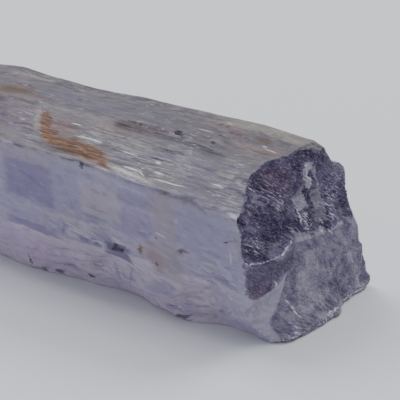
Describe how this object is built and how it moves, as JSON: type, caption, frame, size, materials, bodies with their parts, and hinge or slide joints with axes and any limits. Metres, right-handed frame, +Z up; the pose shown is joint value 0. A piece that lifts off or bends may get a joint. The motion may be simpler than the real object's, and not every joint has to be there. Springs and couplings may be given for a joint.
{
  "type": "kunzite crystal",
  "caption": "Striated kunzite prism lying on a flat cleavage face, rough break at one end and an etched chisel termination at the other.",
  "frame": {"origin": "centre of the bounding box on the resting plane", "axes": "+X along the crystal's length towards the rough break, +Z up from the flat face it lies on"},
  "size_m": [0.074, 0.0284, 0.0235],
  "materials": {
    "kunzite": "vitreous pale violet crystal with silky lengthwise striations, a dull splintery break and patches of rust-coloured stain"
  },
  "bodies": {
    "root": {"crystal": "kunzite"}
  },
  "joints": []
}
